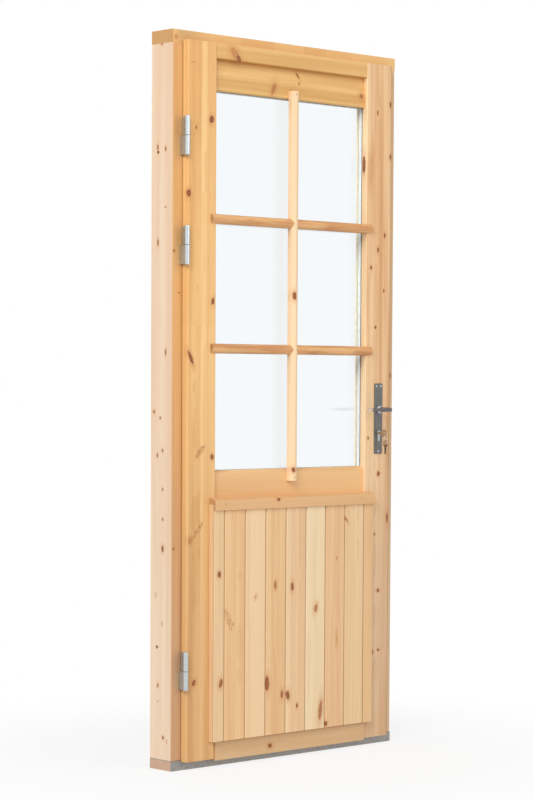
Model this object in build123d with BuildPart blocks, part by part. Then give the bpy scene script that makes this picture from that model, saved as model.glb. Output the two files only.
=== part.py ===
"""A glazed pine entrance door, hung in its frame on a low threshold.

The origin is the middle of the threshold's underside. +X is to the right for someone who faces the
door from outside, -Y is the outside and +Z is up. The leaf hangs on the left and swings outwards.
"""
import os

from build123d import *

# Frame and threshold
frame_width = 890.0
frame_height = 2090.0
frame_depth = 92.0
jamb_thickness = 45.0
head_thickness = 37.0
stop_step = 12.0
frame_arris = 2.0
threshold_height = 30.0
cover_thickness = 2.0
cover_bend = 3.0
wall_fixing_radius = 5.0
wall_fixing_recess_radius = 9.0
wall_fixing_recess_depth = 12.0
wall_fixing_low = 350.0
wall_fixing_down = 340.0

# Leaf
leaf_proud = 25.0
leaf_thickness = 55.0
leaf_gap = 3.0
lip_overlap = 9.0
lip_gap = 0.5
sill_gap = 4.0
sill_lap = 5.0
stile_width = 106.0
stile_arris = 3.0
top_rail_height = 134.0
top_band_height = 44.0
top_band_set_back = 1.0
top_band_round = 4.0
top_cove = 9.0
glazing_height = 1076.0
mid_rail_height = 138.0
mid_rail_show = 77.0
rail_recess = 10.0
sill_bevel = 8.0
rail_chamfer = 4.0
bottom_rail_height = 130.0
bottom_rail_show = 55.0
bottom_rail_drop = 5.0
bottom_rail_proud = 4.0
bottom_rail_bevel = 3.0
tenon_length = 40.0
tenon_thickness = 12.0
tenon_shoulder = 12.0

# Glazing
glass_set_back = 21.0
glass_rebate = 14.0
pane_thickness = 4.0
pane_space = 12.0
pane_clearance = 4.0
spacer_set_in = 4.0
spacer_width = 7.0
bead_bevel = 6.0
bead_joint = 0.2

# Glazing bars on the outside
bar_width = 28.0
bar_base = 6.0
upright_base = 8.0
upright_foot_lap = 36.0
upright_head_lap = 23.0
bar_height_shares = (0.323, 0.664)
bar_lap = 20.0
bar_fit = 0.3

# Boarded lower panel
boards_lap = 21.0
edge_board_share = 0.52
full_boards = 7
board_thickness = 19.0
board_groove = 4.0
board_foot_gap = 1.5
tongue_length = 6.0
tongue_thickness = 6.0
tongue_fit = 0.3
cap_lip_depth = 6.0
cap_lip_fit = 0.3
cap_over_boards = 19.0
cap_fall = 7.0
cap_lip_height = 17.0
cap_round = 3.0
inner_panel_thickness = 12.0

# Seals
seal_room = 4.0
seal_width = 7.0
seal_base = 1.0
seal_clearance = 0.3
foot_seal_width = 6.0
foot_seal_groove = 8.0
foot_seal_margin = 10.0
foot_seal_clearance = 0.5

# Hinges: the lowest from the floor up, the others from the frame's top down
hinge_bottom_up = 286.0
hinge_middle_down = 602.0
hinge_top_down = 296.0
hinge_height = 110.0
barrel_radius = 7.5
barrel_round = 2.0
hinge_side_gap = 0.4
hinge_axis_proud = 5.0
hinge_plate_thickness = 3.0
hinge_plate_end_gap = 1.5
hinge_plate_bite = 30.0
hinge_pin_radius = 4.0
hinge_pin_bite = 40.0
hinge_pin_fit = 0.05
hinge_seat_fit = 0.02
washer_thickness = 1.5
washer_radius = 7.0
washer_play = 0.05

# Screws
screw_head_radius = 3.6
screw_head_depth = 2.2
screw_radius = 1.8
screw_length = 22.0
screw_fit = 0.05
frame_screw_length = 26.0

# Lock, lever and cylinder
backset = 40.0
lever_height = 1023.0
cylinder_drop = 72.0
plate_width = 34.0
plate_height = 213.0
plate_above_lever = 79.0
plate_thickness = 3.0
plate_corner = 4.0
plate_edge = 1.0
plate_screw_inset = 8.0
case_depth = 70.0
case_height = 168.0
case_above_lever = 60.0
case_thickness = 15.0
case_wall = 1.5
pocket_fit = 0.2
forend_thickness = 3.0
forend_width = 22.0
forend_height = 235.0
forend_screw_inset = 9.0
spindle_width = 8.0
spindle_fit = 0.05
lever_bite = 26.0
knob_bite = 14.0
spindle_room = 7.0
stile_bore_radius = 9.0
latch_above_lever = 33.0
latch_width = 10.0
latch_height = 18.0
latch_throw = 12.0
latch_tail = 25.0
latch_nose = 2.0
bolt_below_lever = 42.0
bolt_width = 10.0
bolt_height = 32.0
bolt_throw = 20.0
bolt_tail = 33.0
bolt_set_in = 0.5
bolt_fit = 0.3
strike_thickness = 2.5
strike_width = 22.0
strike_height = 150.0
strike_below_lever = 86.0
strike_screw_inset = 9.0
strike_pocket_end = 8.0
strike_pocket_room = 3.0
cylinder_radius = 8.5
cylinder_leg_width = 10.0
cylinder_leg_drop = 24.5
cylinder_proud = 1.5
cylinder_fit = 0.3
plug_radius = 6.9
plug_fit = 0.05
keyway_width = 2.4
keyway_height = 8.0
spigot_radius = 9.0
spigot_fit = 0.05
spigot_length = 2.5
neck_base_radius = 11.0
neck_radius = 7.0
neck_base_height = 5.0
lever_gap = 0.3
lever_reach = 49.0
lever_length = 87.0
grip_heel = 8.0
grip_heel_depth = 14.0
grip_heel_height = 12.0
grip_tip_depth = 10.0
grip_tip_height = 8.0
grip_round = 3.0
knob_reach = 21.0
knob_thickness = 9.0
knob_half_width = 14.0
knob_half_height = 20.0
knob_round = 3.0

# Keys
key_thickness = 2.2
key_blade_height = 7.6
key_blade_length = 28.0
key_neck = 10.0
key_bow_radius = 12.0
key_hole_radius = 2.2
key_hole_out = 6.5
key_hole_drop = 6.0
ring_radius = 7.5
ring_wire = 0.9
ring_play = 0.3
spare_bow_radius = 10.0
spare_hole_up = 7.0
spare_blade_length = 22.0
spare_blade_width = 7.0
spare_bit_depth = 1.6

overrun = 5.0

# Planes and lines that pieces share
frame_front = -frame_depth / 2
frame_back = frame_depth / 2
frame_x = frame_width / 2
rebate_x = frame_x - jamb_thickness
doorway_x = rebate_x - stop_step
head_rebate = frame_height - head_thickness
head_stop = head_rebate - stop_step
face_y = frame_front - leaf_proud
lip_back = frame_front - lip_gap
inner_y = face_y + leaf_thickness
stop_y = inner_y + seal_room
leaf_x = rebate_x - leaf_gap
lip_x = rebate_x + lip_overlap
leaf_top = head_rebate - leaf_gap
lip_top = head_rebate + lip_overlap
leaf_bottom = threshold_height + sill_gap
lip_bottom = threshold_height - sill_lap
opening_x = lip_x - stile_width
glass_x = opening_x + glass_rebate
glass_y = face_y + glass_set_back
rail_y = face_y + rail_recess
opening_top = lip_top - top_rail_height
opening_bottom = opening_top - glazing_height
mid_rail_bottom = opening_bottom - mid_rail_height
cap_top = opening_bottom - mid_rail_show
bottom_rail_foot = lip_bottom - bottom_rail_drop
bottom_rail_top = bottom_rail_foot + bottom_rail_height
boards_foot = bottom_rail_foot + bottom_rail_show + board_foot_gap
boards_top = cap_top - cap_over_boards
boards_x = opening_x + boards_lap
board_width = 2 * boards_x / (full_boards + 2 * edge_board_share)
edge_board_width = board_width * edge_board_share
boards_y = face_y - board_thickness
wall_fixing_y = (stop_y + frame_back) / 2
unit_back = glass_y + 2 * pane_thickness + pane_space
core_y = (lip_back + inner_y) / 2
lock_x = leaf_x - backset
cylinder_height = lever_height - cylinder_drop
hinge_heights = (hinge_bottom_up, frame_height - hinge_middle_down, frame_height - hinge_top_down)
hinge_x = -(lip_x + hinge_side_gap + barrel_radius)
hinge_y = face_y - hinge_axis_proud
hinge_plate_y = lip_back - hinge_plate_end_gap
outside_y = face_y - plate_thickness
inside_y = inner_y + plate_thickness
plate_top = lever_height + plate_above_lever
plate_foot = plate_top - plate_height
latch_height_z = lever_height + latch_above_lever
bolt_height_z = lever_height - bolt_below_lever
case_top = lever_height + case_above_lever
case_foot = case_top - case_height
case_back = leaf_x - case_depth
forend_foot = (case_top + case_foot - forend_height) / 2
forend_x = leaf_x - forend_thickness
strike_foot = lever_height - strike_below_lever
plug_front = outside_y - cylinder_proud
plug_back = inside_y + cylinder_proud
key_bow_y = plug_front - key_neck - key_bow_radius
ring_y = key_bow_y - key_hole_out
ring_hang = key_hole_radius - ring_wire - ring_play
ring_z = cylinder_height - key_hole_drop - ring_hang
spare_hole_z = ring_z - 2 * ring_radius - ring_hang
spare_bow_z = spare_hole_z - spare_hole_up


def block(x0, x1, y0, y1, z0, z1, mode=Mode.ADD):
    """A block between three pairs of planes, in the part that is open."""
    with Locations(((x0 + x1) / 2, (y0 + y1) / 2, (z0 + z1) / 2)):
        Box(abs(x1 - x0), abs(y1 - y0), abs(z1 - z0), mode=mode)


def outline(plane, points):
    """A closed outline of straight runs on a plane, ready to extrude."""
    with BuildSketch(plane) as shape:
        with BuildLine():
            Polyline(*points, close=True)
        make_face()
    return shape.sketch


def disc(plane, radius):
    """A round face on a plane, ready to extrude."""
    with BuildSketch(plane) as shape:
        Circle(radius)
    return shape.sketch


def screw(head_plane, length=screw_length, grow=0, mode=Mode.ADD):
    """A countersunk screw whose head lies on a plane, or the hole that it needs."""
    head_face = disc(head_plane, screw_head_radius + grow)
    shank_face = disc(head_plane.offset(-screw_head_depth), screw_radius + grow)
    loft((head_face, shank_face), mode=mode)
    extrude(shank_face, amount=screw_head_depth - length - grow, mode=mode)


def keep(piece, name):
    """Label a finished piece and write it."""
    piece.part.label = name
    export_step(piece.part, f"parts/{name}.step")


def across(x, y, z, direction):
    """A plane that faces along X, -1 to the left or 1 to the right."""
    return Plane(origin=(x, y, z), x_dir=(0, 1, 0), z_dir=(direction, 0, 0))


def through(x, y, z, direction):
    """A plane that faces along Y, -1 to the outside or 1 to the inside."""
    return Plane(origin=(x, y, z), x_dir=(1, 0, 0), z_dir=(0, direction, 0))


os.makedirs("parts", exist_ok=True)

# Places that fasteners and their holes share
hinge_leaf_screw_y = (hinge_y + barrel_radius + hinge_plate_y) / 2
hinge_frame_screw_y = frame_front + hinge_plate_bite / 2
hinge_screw_shares = (0.3, 0.75)
half_hinge = hinge_height / 2
hinge_leaf_screws_at = [
    across(-lip_x - hinge_plate_thickness, hinge_leaf_screw_y, z + half_hinge * share, -1)
    for z in hinge_heights
    for share in hinge_screw_shares
]
hinge_frame_screws_at = [
    across(-rebate_x, hinge_frame_screw_y, z - half_hinge * share, 1)
    for z in hinge_heights
    for share in hinge_screw_shares
]
plate_screw_spread = plate_width / 2 - plate_screw_inset
plate_screw_places = (
    (lock_x - plate_screw_spread, plate_top - plate_screw_inset),
    (lock_x + plate_screw_spread, plate_top - plate_screw_inset),
    (lock_x, plate_foot + plate_screw_inset),
)
outside_screws_at = [through(x, outside_y, z, -1) for x, z in plate_screw_places]
inside_screws_at = [through(x, inside_y, z, 1) for x, z in plate_screw_places]
plate_screw_length = leaf_thickness / 2
strike_screws_at = [
    across(rebate_x, core_y, strike_foot + strike_screw_inset, -1),
    across(rebate_x, core_y, strike_foot + strike_height - strike_screw_inset, -1),
]
forend_screws_at = [
    across(leaf_x, core_y, forend_foot + forend_screw_inset, 1),
    across(leaf_x, core_y, forend_foot + forend_height - forend_screw_inset, 1),
]


def jamb_profile(side):
    """The jamb's section on top of the threshold: a rebate for the leaf and the stop behind it."""
    points = (
        (side * frame_x, frame_front),
        (side * rebate_x, frame_front),
        (side * rebate_x, stop_y),
        (side * doorway_x, stop_y),
        (side * doorway_x, frame_back),
        (side * frame_x, frame_back),
    )
    return outline(Plane.XY.offset(threshold_height), points)


def wall_fixings(side):
    """Screw holes through the stop, with a recess for the head on the doorway side."""
    for z in (wall_fixing_low, frame_height - wall_fixing_down):
        start = across(side * (doorway_x - overrun), wall_fixing_y, z, side)
        hole = disc(start, wall_fixing_radius)
        extrude(hole, amount=frame_x - doorway_x + 2 * overrun, mode=Mode.SUBTRACT)
        recess = disc(start, wall_fixing_recess_radius)
        extrude(recess, amount=wall_fixing_recess_depth + overrun, mode=Mode.SUBTRACT)


# Left jamb, with a slot and screw holes for each hinge
kerf_x = hinge_x + hinge_plate_thickness / 2
with BuildPart() as left_jamb:
    extrude(jamb_profile(-1), amount=head_rebate - threshold_height)
    chamfer(left_jamb.edges().filter_by(Axis.Z).group_by(Axis.Y)[0].sort_by(Axis.X)[0], length=frame_arris)
    wall_fixings(-1)
    for z in hinge_heights:
        block(
            kerf_x - hinge_plate_thickness - pocket_fit, kerf_x + pocket_fit,
            frame_front - overrun, frame_front + hinge_plate_bite + pocket_fit,
            z - half_hinge - pocket_fit, z - washer_thickness / 2 + pocket_fit, Mode.SUBTRACT,
        )
    for place in hinge_frame_screws_at:
        screw(place, frame_screw_length, screw_fit, Mode.SUBTRACT)
keep(left_jamb, "frame_left_jamb")

# Right jamb, with the seat of the strike plate and a pocket behind each bolt
strike_y0 = core_y - strike_width / 2
strike_y1 = core_y + strike_width / 2
with BuildPart() as right_jamb:
    extrude(jamb_profile(1), amount=head_rebate - threshold_height)
    chamfer(right_jamb.edges().filter_by(Axis.Z).group_by(Axis.Y)[0].sort_by(Axis.X)[-1], length=frame_arris)
    wall_fixings(1)
    block(
        rebate_x - overrun, rebate_x + strike_thickness, strike_y0, strike_y1,
        strike_foot, strike_foot + strike_height, Mode.SUBTRACT,
    )
    for z, height in ((latch_height_z, latch_height), (bolt_height_z, bolt_height)):
        block(
            rebate_x - overrun, rebate_x + bolt_throw + strike_pocket_end,
            core_y - bolt_width / 2 - strike_pocket_room, core_y + bolt_width / 2 + strike_pocket_room,
            z - height / 2 - strike_pocket_room, z + height / 2 + strike_pocket_room, Mode.SUBTRACT,
        )
    for place in strike_screws_at:
        screw(place, screw_length, screw_fit, Mode.SUBTRACT)
keep(right_jamb, "frame_right_jamb")

# Head, laid over the jambs, with its stop between theirs
with BuildPart() as head:
    block(-frame_x, frame_x, frame_front, frame_back, head_rebate, frame_height)
    chamfer(head.edges().filter_by(Axis.X).group_by(Axis.Y)[0].sort_by(Axis.Z)[-1], length=frame_arris)
    block(-doorway_x, doorway_x, stop_y, frame_back, head_stop, head_rebate)
keep(head, "frame_head")

# Threshold: a wooden core under a folded metal cover
with BuildPart() as threshold_core:
    block(
        -frame_x, frame_x, frame_front + cover_thickness, frame_back - cover_thickness,
        0, threshold_height - cover_thickness,
    )
keep(threshold_core, "threshold_core")

with BuildPart() as threshold_cover:
    block(-frame_x, frame_x, frame_front, frame_back, 0, threshold_height)
    fillet(threshold_cover.edges().filter_by(Axis.X).group_by(Axis.Z)[-1].sort_by(Axis.Y)[0], cover_bend)
    block(
        -frame_x - overrun, frame_x + overrun, frame_front + cover_thickness, frame_back - cover_thickness,
        -overrun, threshold_height - cover_thickness, Mode.SUBTRACT,
    )
keep(threshold_cover, "threshold_cover")

# Seals on the stops: a flat foot and a rounded face towards the leaf
seal_mid_x = (leaf_x + doorway_x) / 2
seal_mid_z = (leaf_top + head_stop) / 2


def seal_section(plane):
    """A D-shaped strip on a plane whose y axis points at the leaf: a flat foot and a round face."""
    half = seal_width / 2
    with BuildSketch(plane) as shape:
        with BuildLine():
            Polyline((-half, seal_base), (-half, 0), (half, 0), (half, seal_base))
            ThreePointArc((half, seal_base), (0, seal_room - seal_clearance), (-half, seal_base))
        make_face()
    return shape.sketch


for side, name in ((-1, "seal_left"), (1, "seal_right")):
    with BuildPart() as jamb_seal:
        foot = Plane(origin=(side * seal_mid_x, stop_y, threshold_height), x_dir=(-1, 0, 0), z_dir=(0, 0, 1))
        extrude(seal_section(foot), amount=head_stop - threshold_height)
    keep(jamb_seal, name)

with BuildPart() as head_seal:
    end = Plane(origin=(-doorway_x, stop_y, seal_mid_z), x_dir=(0, 0, 1), z_dir=(1, 0, 0))
    extrude(seal_section(end), amount=2 * doorway_x)
keep(head_seal, "seal_head")

# Strike plate and its screws
with BuildPart() as strike:
    block(
        rebate_x, rebate_x + strike_thickness, strike_y0, strike_y1,
        strike_foot, strike_foot + strike_height,
    )
    for z, height in ((latch_height_z, latch_height), (bolt_height_z, bolt_height)):
        block(
            rebate_x - overrun, rebate_x + strike_thickness + overrun,
            core_y - bolt_width / 2 - strike_pocket_room, core_y + bolt_width / 2 + strike_pocket_room,
            z - height / 2 - strike_pocket_room, z + height / 2 + strike_pocket_room, Mode.SUBTRACT,
        )
    for place in strike_screws_at:
        screw(place, screw_length, screw_fit, Mode.SUBTRACT)
keep(strike, "strike_plate")

with BuildPart() as strike_screws:
    for place in strike_screws_at:
        screw(place)
keep(strike_screws, "strike_screws")

# Lift-off hinges: the frame half carries the pin, and the leaf half drops over it
hinge_names = ("bottom", "middle", "top")
for z, name in zip(hinge_heights, hinge_names):
    frame_half_top = z - washer_thickness / 2
    leaf_half_foot = z + washer_thickness / 2 + washer_play
    with BuildPart() as frame_half:
        with BuildSketch(Plane.XY.offset(z - half_hinge)):
            with Locations((hinge_x, hinge_y)):
                Circle(barrel_radius)
        extrude(amount=frame_half_top - z + half_hinge)
        fillet(frame_half.edges().group_by(Axis.Z)[0], barrel_round)
        block(
            kerf_x - hinge_plate_thickness, kerf_x, hinge_y, frame_front + hinge_plate_bite,
            z - half_hinge + barrel_round, frame_half_top,
        )
        with BuildSketch(Plane.XY.offset(z - hinge_pin_bite)):
            with Locations((hinge_x, hinge_y)):
                Circle(hinge_pin_radius + hinge_seat_fit)
        extrude(amount=hinge_pin_bite, mode=Mode.SUBTRACT)
        for place in hinge_frame_screws_at:
            screw(place, frame_screw_length, screw_fit, Mode.SUBTRACT)
    keep(frame_half, f"hinge_{name}_frame_half")

    with BuildPart() as leaf_half:
        with BuildSketch(Plane.XY.offset(leaf_half_foot)):
            with Locations((hinge_x, hinge_y)):
                Circle(barrel_radius)
        extrude(amount=z + half_hinge - leaf_half_foot)
        fillet(leaf_half.edges().group_by(Axis.Z)[-1], barrel_round)
        block(
            -lip_x - hinge_plate_thickness, -lip_x, hinge_y, hinge_plate_y,
            leaf_half_foot, z + half_hinge - barrel_round,
        )
        with BuildSketch(Plane.XY.offset(leaf_half_foot - overrun)):
            with Locations((hinge_x, hinge_y)):
                Circle(hinge_pin_radius + hinge_pin_fit)
        extrude(amount=hinge_pin_bite + 2 * overrun, mode=Mode.SUBTRACT)
        for place in hinge_leaf_screws_at:
            screw(place, screw_length, screw_fit, Mode.SUBTRACT)
    keep(leaf_half, f"hinge_{name}_leaf_half")

with BuildPart() as hinge_pins:
    for z in hinge_heights:
        with BuildSketch(Plane.XY.offset(z - hinge_pin_bite)):
            with Locations((hinge_x, hinge_y)):
                Circle(hinge_pin_radius)
        extrude(amount=2 * hinge_pin_bite)
keep(hinge_pins, "hinge_pins")

with BuildPart() as hinge_washers:
    for z in hinge_heights:
        with BuildSketch(Plane.XY.offset(z - washer_thickness / 2)):
            with Locations((hinge_x, hinge_y)):
                Circle(washer_radius)
                Circle(hinge_pin_radius + hinge_seat_fit, mode=Mode.SUBTRACT)
        extrude(amount=washer_thickness)
keep(hinge_washers, "hinge_washers")

with BuildPart() as hinge_frame_screws:
    for place in hinge_frame_screws_at:
        screw(place, frame_screw_length)
keep(hinge_frame_screws, "hinge_frame_screws")

with BuildPart() as hinge_leaf_screws:
    for place in hinge_leaf_screws_at:
        screw(place)
keep(hinge_leaf_screws, "hinge_leaf_screws")

# Tenons of the rails, and the mortises that take them: lowest and highest edge of each
tenon_y0 = (glass_y + inner_y - tenon_thickness) / 2
tenon_y1 = tenon_y0 + tenon_thickness
tenon_spans = {
    "top": (opening_top + glass_rebate + tenon_shoulder, leaf_top - tenon_shoulder),
    "mid": (mid_rail_bottom + glass_rebate + tenon_shoulder, opening_bottom - glass_rebate - tenon_shoulder),
    "bottom": (leaf_bottom + tenon_shoulder, bottom_rail_top - glass_rebate - tenon_shoulder),
}
foot_seal_y0 = inner_y - foot_seal_width - foot_seal_margin
foot_seal_y1 = inner_y - foot_seal_margin
foot_seal_x = leaf_x - foot_seal_margin


def stile_blank(side):
    """A stile with its lip over the frame, the rebate for the glass and the mortises."""
    points = (
        (side * lip_x, face_y),
        (side * opening_x, face_y),
        (side * opening_x, glass_y),
        (side * glass_x, glass_y),
        (side * glass_x, inner_y),
        (side * leaf_x, inner_y),
        (side * leaf_x, lip_back),
        (side * lip_x, lip_back),
    )
    with BuildSketch(Plane.XY.offset(lip_bottom)) as plan:
        with BuildLine():
            Polyline(*points, close=True)
        make_face()
        fillet(plan.vertices().group_by(Axis.Y)[0], stile_arris)
    extrude(plan.sketch, amount=lip_top - lip_bottom)
    inner_side = side * (glass_x - overrun)
    outer_side = side * (leaf_x + overrun)
    for low, high in ((leaf_top, lip_top + overrun), (lip_bottom - overrun, leaf_bottom)):
        block(inner_side, outer_side, lip_back, inner_y + overrun, low, high, Mode.SUBTRACT)
    for low, high in tenon_spans.values():
        block(
            side * (glass_x - overrun), side * (glass_x + tenon_length), tenon_y0, tenon_y1,
            low, high, Mode.SUBTRACT,
        )
    block(
        side * (glass_x - overrun), side * foot_seal_x, foot_seal_y0, foot_seal_y1,
        leaf_bottom - overrun, leaf_bottom + foot_seal_groove, Mode.SUBTRACT,
    )


with BuildPart() as hinge_stile:
    stile_blank(-1)
    for place in hinge_leaf_screws_at:
        screw(place, screw_length, screw_fit, Mode.SUBTRACT)
keep(hinge_stile, "hinge_stile")


def cylinder_outline(plane, grow):
    """The round head and the narrow leg of the lock cylinder, on a plane across its axis."""
    with BuildSketch(plane) as shape:
        Circle(cylinder_radius + grow)
        leg_drop = cylinder_leg_drop - cylinder_leg_width / 2
        with Locations((0, -leg_drop / 2)):
            Rectangle(cylinder_leg_width + 2 * grow, leg_drop)
        with Locations((0, -leg_drop)):
            Circle(cylinder_leg_width / 2 + grow)
    return shape.sketch


def lock_plane(y, z):
    """A plane that faces outwards on the line of the lock, with its y axis up."""
    return Plane(origin=(lock_x, y, z), x_dir=(1, 0, 0), z_dir=(0, -1, 0))


def lock_room():
    """The pocket, bores and screw holes that the lock needs in the wood, in stile and rail alike."""
    block(
        case_back - pocket_fit, leaf_x + overrun,
        core_y - case_thickness / 2 - pocket_fit, core_y + case_thickness / 2 + pocket_fit,
        case_foot - pocket_fit, case_top + pocket_fit, Mode.SUBTRACT,
    )
    spindle_bore = disc(lock_plane(inner_y + overrun, lever_height), stile_bore_radius)
    extrude(spindle_bore, amount=leaf_thickness + 2 * overrun, mode=Mode.SUBTRACT)
    cylinder_bore = cylinder_outline(lock_plane(inner_y + overrun, cylinder_height), cylinder_fit)
    extrude(cylinder_bore, amount=leaf_thickness + 2 * overrun, mode=Mode.SUBTRACT)
    for place in outside_screws_at + inside_screws_at:
        screw(place, plate_screw_length, screw_fit, Mode.SUBTRACT)


with BuildPart() as lock_stile:
    stile_blank(1)
    lock_room()
    block(
        forend_x, leaf_x + overrun, core_y - forend_width / 2, core_y + forend_width / 2,
        forend_foot, forend_foot + forend_height, Mode.SUBTRACT,
    )
    for place in forend_screws_at:
        screw(place, screw_length, screw_fit, Mode.SUBTRACT)
keep(lock_stile, "lock_stile")


def rail_tongues(low, high, tenon):
    """The parts of a rail that fill the stiles' rebates, and the tenons that go on from them."""
    for side in (-1, 1):
        block(side * opening_x, side * glass_x, glass_y, inner_y, low, high)
        block(
            side * glass_x, side * (glass_x + tenon_length), tenon_y0, tenon_y1,
            tenon_spans[tenon][0], tenon_spans[tenon][1],
        )


# Top rail: a band almost flush with the stiles, and a set-back face with a cove under the band
band_foot = lip_top - top_band_height
band_y = face_y + top_band_set_back
cove_foot = opening_top + upright_head_lap + rail_chamfer
with BuildPart() as top_rail:
    with BuildSketch(Plane.YZ.offset(-opening_x)):
        with BuildLine():
            Polyline(
                (rail_y, cove_foot),
                (rail_y, opening_top + rail_chamfer),
                (rail_y + rail_chamfer, opening_top),
                (glass_y, opening_top),
                (glass_y, opening_top + glass_rebate),
                (inner_y, opening_top + glass_rebate),
                (inner_y, leaf_top),
                (lip_back, leaf_top),
                (lip_back, lip_top),
                (band_y, lip_top),
                (band_y, band_foot + top_band_round),
            )
            RadiusArc(
                (band_y, band_foot + top_band_round), (band_y + top_band_round, band_foot), -top_band_round
            )
            Line((band_y + top_band_round, band_foot), (rail_y + top_cove, band_foot))
            cove_crest = (rail_y + top_cove / 3, (cove_foot + band_foot) / 2)
            ThreePointArc((rail_y + top_cove, band_foot), cove_crest, (rail_y, cove_foot))
        make_face()
    extrude(amount=2 * opening_x)
    rail_tongues(opening_top + glass_rebate, leaf_top, "top")
keep(top_rail, "top_rail")

# Mid rail: a sloping sill under the glass, a set-back face, and a flush part behind the boards
with BuildPart() as mid_rail:
    section = outline(
        Plane.YZ.offset(-opening_x),
        (
            (face_y, mid_rail_bottom),
            (face_y, cap_top),
            (rail_y, cap_top),
            (rail_y, opening_bottom - sill_bevel),
            (glass_y, opening_bottom),
            (glass_y, opening_bottom - glass_rebate),
            (inner_y, opening_bottom - glass_rebate),
            (inner_y, mid_rail_bottom + glass_rebate),
            (glass_y, mid_rail_bottom + glass_rebate),
            (glass_y, mid_rail_bottom),
        ),
    )
    extrude(section, amount=2 * opening_x)
    rail_tongues(mid_rail_bottom + glass_rebate, opening_bottom - glass_rebate, "mid")
    lock_room()
keep(mid_rail, "mid_rail")

# Bottom rail: its face stands a little proud below the boards and drops below the stiles
proud_y = face_y - bottom_rail_proud
proud_top = bottom_rail_foot + bottom_rail_show
with BuildPart() as bottom_rail:
    section = outline(
        Plane.YZ.offset(-opening_x),
        (
            (proud_y, bottom_rail_foot),
            (proud_y, proud_top - bottom_rail_bevel),
            (face_y, proud_top),
            (face_y, bottom_rail_top),
            (glass_y, bottom_rail_top),
            (glass_y, bottom_rail_top - glass_rebate),
            (inner_y, bottom_rail_top - glass_rebate),
            (inner_y, leaf_bottom),
            (lip_back, leaf_bottom),
            (lip_back, bottom_rail_foot),
        ),
    )
    extrude(section, amount=2 * opening_x)
    rail_tongues(leaf_bottom, bottom_rail_top - glass_rebate, "bottom")
    block(
        -glass_x - overrun, glass_x + overrun, foot_seal_y0, foot_seal_y1,
        leaf_bottom - overrun, leaf_bottom + foot_seal_groove, Mode.SUBTRACT,
    )
keep(bottom_rail, "bottom_rail")

with BuildPart() as bottom_seal:
    block(
        -foot_seal_x, foot_seal_x, foot_seal_y0, foot_seal_y1,
        threshold_height + foot_seal_clearance, leaf_bottom + foot_seal_groove,
    )
keep(bottom_seal, "bottom_seal")

# Sealed double glazing in the stiles' and rails' rebate
pane_x = glass_x - pane_clearance
pane_z0 = opening_bottom - glass_rebate + pane_clearance
pane_z1 = opening_top + glass_rebate - pane_clearance
with BuildPart() as outer_pane:
    block(-pane_x, pane_x, glass_y, glass_y + pane_thickness, pane_z0, pane_z1)
keep(outer_pane, "glass_outer_pane")

with BuildPart() as inner_pane:
    block(-pane_x, pane_x, unit_back - pane_thickness, unit_back, pane_z0, pane_z1)
keep(inner_pane, "glass_inner_pane")

spacer_y0 = glass_y + pane_thickness
spacer_x = pane_x - spacer_set_in
spacer_hole_x = spacer_x - spacer_width
with BuildPart() as spacer:
    block(
        -spacer_x, spacer_x, spacer_y0, spacer_y0 + pane_space,
        pane_z0 + spacer_set_in, pane_z1 - spacer_set_in,
    )
    block(
        -spacer_hole_x, spacer_hole_x, spacer_y0 - overrun, spacer_y0 + pane_space + overrun,
        pane_z0 + spacer_set_in + spacer_width, pane_z1 - spacer_set_in - spacer_width, Mode.SUBTRACT,
    )
keep(spacer, "glass_spacer")


def bead_frame(back, low, high):
    """Four beads round an opening, bevelled towards it, the upright ones between the level ones."""
    for side in (-1, 1):
        upright = outline(
            Plane.XY.offset(low + glass_rebate + bead_joint),
            (
                (side * glass_x, back),
                (side * opening_x, back),
                (side * opening_x, inner_y - bead_bevel),
                (side * (opening_x + bead_bevel), inner_y),
                (side * glass_x, inner_y),
            ),
        )
        extrude(upright, amount=high - low - 2 * (glass_rebate + bead_joint))
    for edge, towards in ((low, 1), (high, -1)):
        level = outline(
            Plane.YZ.offset(-glass_x),
            (
                (back, edge),
                (back, edge + towards * glass_rebate),
                (inner_y - bead_bevel, edge + towards * glass_rebate),
                (inner_y, edge + towards * (glass_rebate - bead_bevel)),
                (inner_y, edge),
            ),
        )
        extrude(level, amount=2 * glass_x)


with BuildPart() as glazing_beads:
    bead_frame(unit_back, opening_bottom - glass_rebate, opening_top + glass_rebate)
keep(glazing_beads, "glazing_beads")

# Inner panel behind the boards, held by beads of its own
panel_back = glass_y + inner_panel_thickness
panel_z0 = bottom_rail_top - glass_rebate
panel_z1 = mid_rail_bottom + glass_rebate
with BuildPart() as inner_panel:
    block(
        -glass_x + pane_clearance, glass_x - pane_clearance, glass_y, panel_back,
        panel_z0 + pane_clearance, panel_z1 - pane_clearance,
    )
keep(inner_panel, "inner_panel")

with BuildPart() as panel_beads:
    bead_frame(panel_back, panel_z0, panel_z1)
keep(panel_beads, "panel_beads")


# Glazing bars: half-round strips that stand on the rails and lap over the stiles
bar_radius = bar_width / 2
bar_crest = rail_y - bar_base - bar_radius
upright_crest = rail_y - upright_base - bar_radius
lap_y = (rail_y + bar_crest) / 2
bar_x = opening_x + bar_lap
bar_heights = [opening_bottom + glazing_height * share for share in bar_height_shares]


def upright_bar():
    """The upright bar as a whole strip, from rail to rail."""
    round_y = rail_y - upright_base
    with BuildSketch(Plane.XY.offset(opening_bottom - upright_foot_lap)) as section:
        with BuildLine():
            Polyline(
                (-bar_radius, round_y), (-bar_radius, rail_y), (bar_radius, rail_y), (bar_radius, round_y)
            )
            ThreePointArc((bar_radius, round_y), (0, upright_crest), (-bar_radius, round_y))
        make_face()
    extrude(section.sketch, amount=glazing_height + upright_foot_lap + upright_head_lap)


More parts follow.
